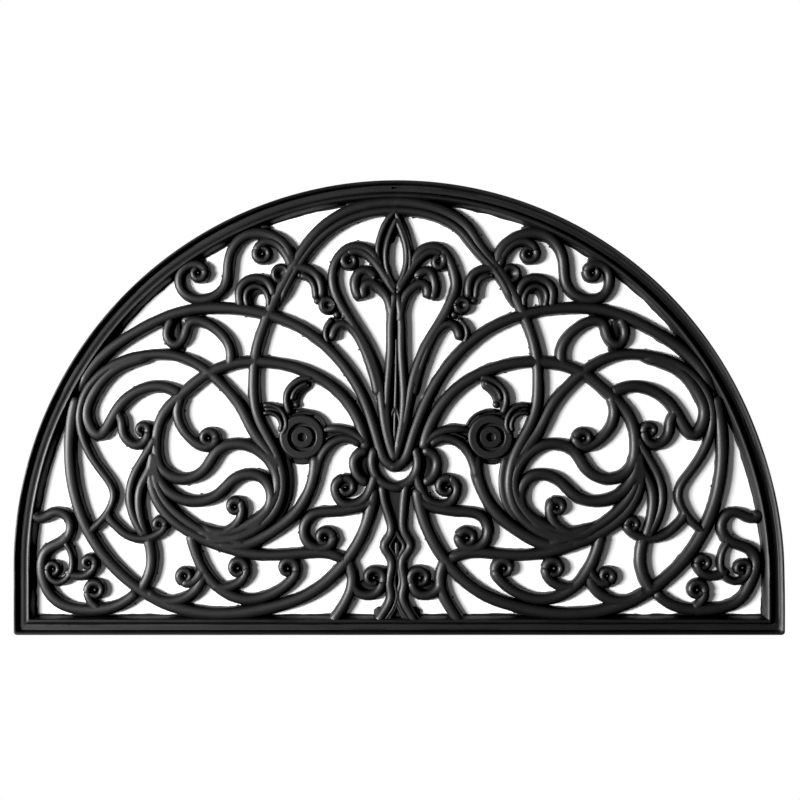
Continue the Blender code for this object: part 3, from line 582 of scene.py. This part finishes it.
def scrollwork():
    for side in (-1, 1):
        for n, bar in enumerate(BARS):
            seed = n * 1.7 + (0.6 if side > 0 else 0.0)
            if bar.side and bar.side != side:
                continue
            fine = bar_line(bar, 0.8)
            f = np.linspace(0, 1, len(fine))
            spread = SPREAD_OUT if bar.width >= 8 else FINE_SPREAD
            widths = (bar.width * (1 - f) + bar.tip * f + spread) * UNIT
            line = place(fine, side)
            if not bar.curl:
                bar_solid(line, widths, seed, fade=bar.fade)
                flakes(line, widths, seed)
                continue
            c = bar.curl
            away = np.linalg.norm(fine - (c.x, c.y), axis=1)
            reach = np.linalg.norm(np.array(bar.knots[-1], float) - (c.x, c.y))
            start = len(fine) - 1
            while start > 0 and away[start - 1] < reach * 0.98:
                start -= 1
            bar_solid(line[:start + 3], widths[:start + 3], seed)
            flakes(line[:start], widths[:start], seed)
            # the wound part, in short lengths that overlap, thinner towards the eye
            wound = line[start:]
            g = np.linspace(0, 1, len(wound))
            ww = widths[start] * (1 - g) + 7.0 * UNIT * g
            turn_len = max(4, int(len(wound) / (c.turns * 5)))
            k = 0
            while k < len(wound) - 3:
                end = min(len(wound), k + turn_len + 2)
                if len(wound) - end < 4:
                    end = len(wound)
                bar_solid(wound[k:end], ww[k:end], seed + k, step=0.0022, flash=0.0003, tips=False)
                if end == len(wound):
                    break
                k += turn_len
            eye = place([(c.x, c.y)], side)[0]
            # a web closes the winding
            ring = []
            for i in range(20):
                f0 = 1 - (1 / c.turns) * (1 - i / 20)
                at = min(len(wound) - 1, max(0, int(round(f0 * (len(wound) - 1)))))
                r = np.linalg.norm(wound[at] - eye)
                a0 = math.atan2(wound[-1][1] - eye[1], wound[-1][0] - eye[0])
                a = math.atan2(wound[at][1] - eye[1], wound[at][0] - eye[0])
                ring.append((a, r))
            ring.sort()
            prism([(eye[0] + r * math.cos(a), eye[1] + r * math.sin(a)) for a, r in ring], 0.0036)
            dome(eye[0], eye[1], c.eye * 0.46 * UNIT, 0.0064, sides=12)
        for ridge in RIDGES:
            if ridge.name == "spine_ridge" and side > 0:
                continue
            fine = spline(ridge.knots, 0.8)
            bar_solid(place(fine, side), np.full(len(fine), ridge.width * UNIT), 91.0,
                      crown=0.0072, wall=0.0045, step=0.003, flash=0.0)
        for disc in DISCS:
            at = place([(disc.x, disc.y)], side)[0]
            dome(at[0], at[1], disc.radius * UNIT, disc.height / 1000, sides=20)
        for k in KNOBS:
            at = place([(k.x, k.y)], side)[0]
            knob(at[0], at[1], k.radius * UNIT, k.dimple * UNIT, k.height / 1000)
        for web in WEBS:
            if web.side and web.side != side:
                continue
            fine = spline(web.knots, 0.8)
            bar_solid(place(fine, side), np.full(len(fine), web.width * UNIT), 47.0 + side,
                      crown=web.height / 1000, wall=web.height * 0.85 / 1000, step=0.004, flash=0.0002)
        at = place([(302.2, 437)], side)[0]
        u = UNIT
        turned(at[0], at[1], (
            (23.0 * u, 0.0), (23.0 * u, 0.0046), (22.5 * u, 0.0056), (21.6 * u, 0.0063), (20.6 * u, 0.0066),
            (19.9 * u, 0.0066), (15.3 * u, 0.0066), (14.6 * u, 0.0066), (14.2 * u, 0.0063), (13.8 * u, 0.0036), (11.2 * u, 0.0034), (10.8 * u, 0.0060),
            (10.4 * u, 0.0064), (9.4 * u, 0.0065),
            (8.8 * u, 0.0065), (5.1 * u, 0.0065), (4.5 * u, 0.0065), (4.1 * u, 0.0062), (3.7 * u, 0.0028),
            (2.2 * u, 0.0026), (1.0 * u, 0.0026)))
    for speck in SPECKS:
        at = place([(speck.x, speck.y)], -1)[0]
        dome(at[0], at[1], speck.radius * UNIT, speck.height / 1000, sides=8)
    for core in CORES:
        a, b = place(core.knots)
        h = core.width * UNIT / 2
        prism([(a[0] - h, a[1]), (a[0] + h, a[1]), (b[0] + h, b[1]), (b[0] - h, b[1])][::-1], core.height / 1000)


def unite(base, others):
    """One closed skin of all the solids."""
    group = bpy.data.collections.new("moulding_parts")
    for ob in others:
        group.objects.link(ob)
    bpy.context.scene.collection.children.link(group)
    bpy.context.scene.collection.objects.link(base)
    mod = base.modifiers.new("unite", "BOOLEAN")
    mod.operation = "UNION"
    mod.operand_type = "COLLECTION"
    mod.collection = group
    mod.solver = "MANIFOLD"
    bpy.context.view_layer.update()
    deps = bpy.context.evaluated_depsgraph_get()
    mesh = bpy.data.meshes.new_from_object(base.evaluated_get(deps))
    for ob in others + [base]:
        bpy.data.objects.remove(ob, do_unlink=True)
    bpy.data.collections.remove(group)
    return mesh
def rubber():
    """Black moulded rubber: satin, faintly grained, dusted and pitted."""
    mat = bpy.data.materials.new("black_rubber")
    mat.use_nodes = True
    nt = mat.node_tree
    nt.nodes.clear()
    new, link = nt.nodes.new, nt.links.new
    out = new("ShaderNodeOutputMaterial")
    bsdf = new("ShaderNodeBsdfPrincipled")
    link(bsdf.outputs["BSDF"], out.inputs["Surface"])
    coords = new("ShaderNodeTexCoord")

    def noise_at(scale, detail, rough):
        n = new("ShaderNodeTexNoise")
        n.inputs["Scale"].default_value = scale
        n.inputs["Detail"].default_value = detail
        n.inputs["Roughness"].default_value = rough
        link(coords.outputs["Object"], n.inputs["Vector"])
        return n.outputs["Fac"]

    def spread(value, low, high, to_low, to_high):
        m = new("ShaderNodeMapRange")
        m.inputs["From Min"].default_value = low
        m.inputs["From Max"].default_value = high
        m.inputs["To Min"].default_value = to_low
        m.inputs["To Max"].default_value = to_high
        link(value, m.inputs["Value"])
        return m.outputs["Result"]

    fine = noise_at(520.0, 4.0, 0.7)
    cloud = noise_at(38.0, 4.0, 0.6)
    dust = noise_at(900.0, 2.0, 0.5)
    bsdf.inputs["Base Color"].default_value = (0.019, 0.019, 0.020, 1.0)
    mix = new("ShaderNodeMix")
    mix.data_type = "RGBA"
    mix.inputs["A"].default_value = (0.0022, 0.0022, 0.0024, 1.0)
    mix.inputs["B"].default_value = (0.075, 0.074, 0.071, 1.0)
    link(spread(dust, 0.70, 0.78, 0.0, 0.45), mix.inputs["Factor"])
    link(mix.outputs["Result"], bsdf.inputs["Base Color"])
    link(spread(cloud, 0.3, 0.7, 0.50, 0.57), bsdf.inputs["Roughness"])
    bsdf.inputs["Specular IOR Level"].default_value = 0.41
    bump = new("ShaderNodeBump")
    bump.inputs["Strength"].default_value = 0.4
    bump.inputs["Distance"].default_value = 0.00035
    link(fine, bump.inputs["Height"])
    link(bump.outputs["Normal"], bsdf.inputs["Normal"])
    # a thin skin with a closer shine
    bsdf.inputs["Coat Weight"].default_value = 0.15
    bsdf.inputs["Coat Roughness"].default_value = 0.30
    link(bump.outputs["Normal"], bsdf.inputs["Coat Normal"])
    return mat


def plain(name, colour, rough):
    mat = bpy.data.materials.new(name)
    mat.use_nodes = True
    b = mat.node_tree.nodes["Principled BSDF"]
    b.inputs["Base Color"].default_value = (*colour, 1.0)
    b.inputs["Roughness"].default_value = rough
    b.inputs["Specular IOR Level"].default_value = 0.2
    return mat


def softbox(name, at, target, size, power):
    data = bpy.data.lights.new(name, "AREA")
    data.shape = "RECTANGLE"
    data.size, data.size_y = size
    data.energy = power
    ob = bpy.data.objects.new(name, data)
    bpy.context.scene.collection.objects.link(ob)
    ob.location = at
    ob.rotation_euler = (Vector(target) - Vector(at)).to_track_quat("-Z", "Y").to_euler()
    return ob


def tidy(mesh):
    """Drops small loose shells, those of fewer than 500 points."""
    bm = bmesh.new()
    bm.from_mesh(mesh)
    left = set(bm.verts)
    while left:
        seed = left.pop()
        shell, todo = [seed], [seed]
        while todo:
            for e in todo.pop().link_edges:
                for v in e.verts:
                    if v in left:
                        left.discard(v)
                        shell.append(v)
                        todo.append(v)
        if len(shell) < 500:
            bmesh.ops.delete(bm, geom=shell, context="VERTS")
    print("triangles", sum(len(f.verts) - 2 for f in bm.faces), "open edges", sum(not e.is_manifold for e in bm.edges))
    bm.to_mesh(mesh)
    bm.free()


rim = border()
SOLIDS.clear()
scrollwork()
skin = unite(rim, list(SOLIDS))
skin.name = "doormat"
tidy(skin)
for p in skin.polygons:
    p.use_smooth = True
mat_ob = bpy.data.objects.new("doormat", skin)
bpy.context.scene.collection.objects.link(mat_ob)
skin.materials.clear()
skin.materials.append(rubber())
skin.set_sharp_from_angle(angle=math.radians(38))

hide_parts("mat")
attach(mat_ob, "root")

floor_mesh = bpy.data.meshes.new("floor")
fb = bmesh.new()
bmesh.ops.create_grid(fb, x_segments=1, y_segments=1, size=6.0)
fb.to_mesh(floor_mesh)
fb.free()
floor = bpy.data.objects.new("floor", floor_mesh)
floor_mesh.materials.append(plain("white_floor", (0.95, 0.95, 0.95), 0.7))
bpy.context.scene.collection.objects.link(floor)

# the ground is plain white round the mat: a white sheet with the mat's outline cut out lies there and glows of itself,
# painted light where the mat's cast shadow would fall
surround_mesh = bpy.data.meshes.new("surround")
fb = bmesh.new()
outline, _ = border_stations()
loops = []
for ring, grow in ((outline, 1.0006), (((-6, -6), (6, -6), (6, 6), (-6, 6)), 1.0)):
    dots = [fb.verts.new((lie(x, y) * grow, (y + rise(y)) * grow, 0.0001)) for x, y in ring]
    loops += [fb.edges.new((dots[i], dots[(i + 1) % len(dots)])) for i in range(len(dots))]
bmesh.ops.triangle_fill(fb, use_beauty=True, edges=loops, normal=(0, 0, 1))
fb.to_mesh(surround_mesh)
fb.free()
glow = bpy.data.materials.new("glowing_surround")
glow.use_nodes = True
glow.node_tree.nodes.clear()
# painted light: the sheet glows evenly white instead of being lit, so the mat casts no shadow on it
shine = glow.node_tree.nodes.new("ShaderNodeEmission")
shine.inputs["Color"].default_value = (1.0, 1.0, 1.0, 1.0)
shine.inputs["Strength"].default_value = 1.0
glow_out = glow.node_tree.nodes.new("ShaderNodeOutputMaterial")
glow.node_tree.links.new(shine.outputs["Emission"], glow_out.inputs["Surface"])
surround_mesh.materials.append(glow)
surround = bpy.data.objects.new("surround", surround_mesh)
bpy.context.scene.collection.objects.link(surround)

KEY_TILT = math.radians(33)
KEY_AWAY = 6.0
softbox("key", (-KEY_AWAY * math.cos(KEY_TILT), 0.0, KEY_AWAY * math.sin(KEY_TILT)), (0.0, 0.0, 0.0), (1.35, 3.0), 1000.0)

scene = bpy.context.scene
world = bpy.data.worlds.new("World")
scene.world = world
world.use_nodes = True
wn, wl = world.node_tree.nodes, world.node_tree.links
wn["Background"].inputs["Color"].default_value = (1.0, 1.0, 1.0, 1.0)
way = wn.new("ShaderNodeTexCoord")
split = wn.new("ShaderNodeSeparateXYZ")
wl.new(way.outputs["Generated"], split.inputs["Vector"])
climb = wn.new("ShaderNodeMapRange")
climb.inputs["From Min"].default_value = 0.2
climb.inputs["From Max"].default_value = 0.9
climb.inputs["To Min"].default_value = 0.05
climb.inputs["To Max"].default_value = 0.165
wl.new(split.outputs["Z"], climb.inputs["Value"])
wl.new(climb.outputs["Result"], wn["Background"].inputs["Strength"])
scene.view_settings.view_transform = "Standard"
# the photo's deepest tones are held down to black
scene.view_settings.use_curve_mapping = True
scene.view_settings.curve_mapping.black_level = (0.0065, 0.0065, 0.0065)
scene.view_settings.curve_mapping.update()

cam_data = bpy.data.cameras.new("camera")
cam = bpy.data.objects.new("camera", cam_data)
scene.collection.objects.link(cam)
cam.location = (0.00292, 0.00800, 1.2)
cam.rotation_euler = (0.0, 0.0, 0.0)
cam_data.sensor_width = 36.0
cam_data.lens = 36.0 * 1.2 / (800 * 0.0009795)
scene.camera = cam
